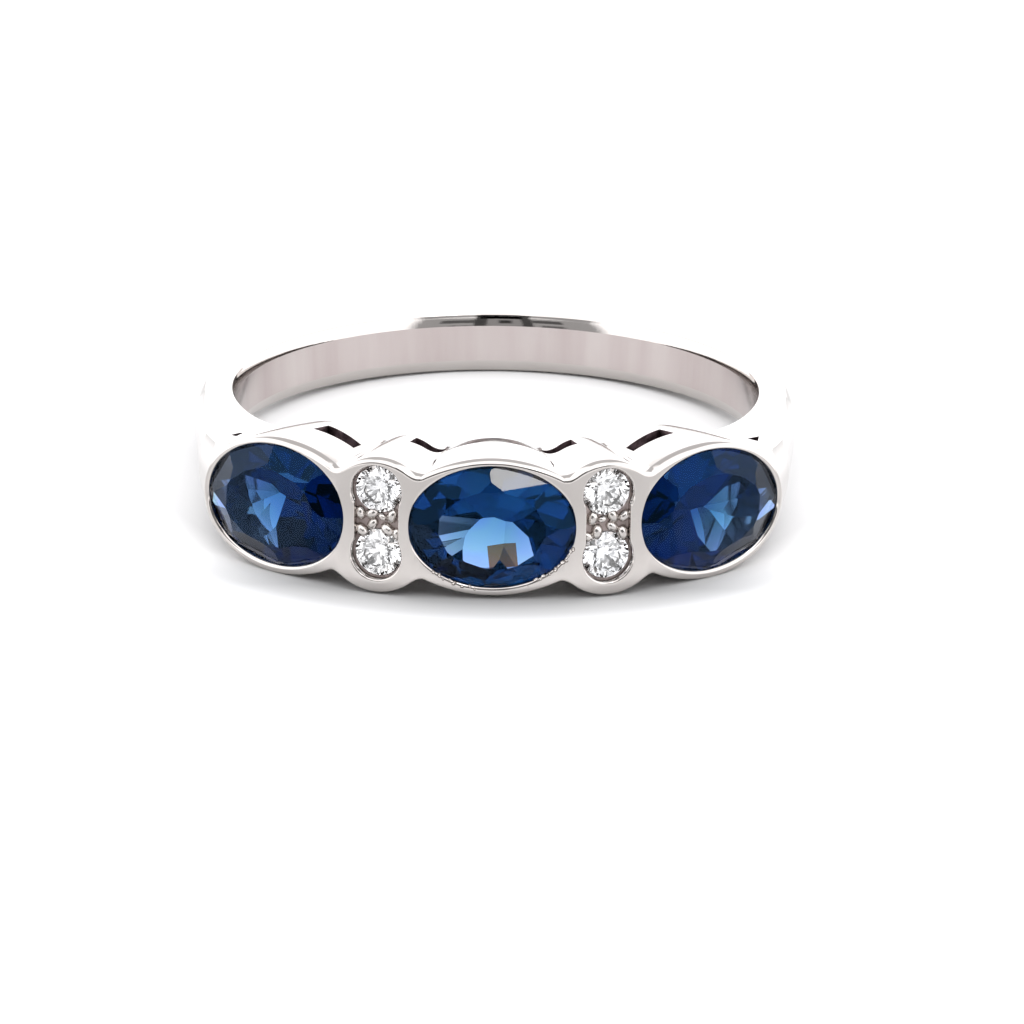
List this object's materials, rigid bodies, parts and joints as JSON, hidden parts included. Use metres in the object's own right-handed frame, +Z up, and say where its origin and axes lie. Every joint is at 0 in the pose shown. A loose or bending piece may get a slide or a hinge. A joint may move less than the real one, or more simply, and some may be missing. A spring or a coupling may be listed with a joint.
{
  "type": "sapphire and diamond ring",
  "caption": "Finger ring of white metal: a row of oval blue stones in rubbed-over collets with pairs of small round clear stones in waisted plates between them, on a court band.",
  "frame": {"origin": "centre of the finger hole, halfway along it", "axes": "-Y from the finger hole towards the stones, +X across the ring towards its right shoulder, +Z up with the ring lying on its side at rest, so the finger hole's axis leans a few degrees from Z"},
  "size_m": [0.0198, 0.0225, 0.0046],
  "materials": {
    "white_gold": "polished white gold",
    "sapphire": "cut and polished, deep blue",
    "diamond": "cut and polished, clear"
  },
  "bodies": {
    "root": {"ring_mount": "white_gold", "sapphire_left": "sapphire", "sapphire_centre": "sapphire", "sapphire_right": "sapphire", "diamond_left_upper": "diamond", "diamond_left_lower": "diamond", "diamond_right_upper": "diamond", "diamond_right_lower": "diamond"}
  },
  "joints": []
}
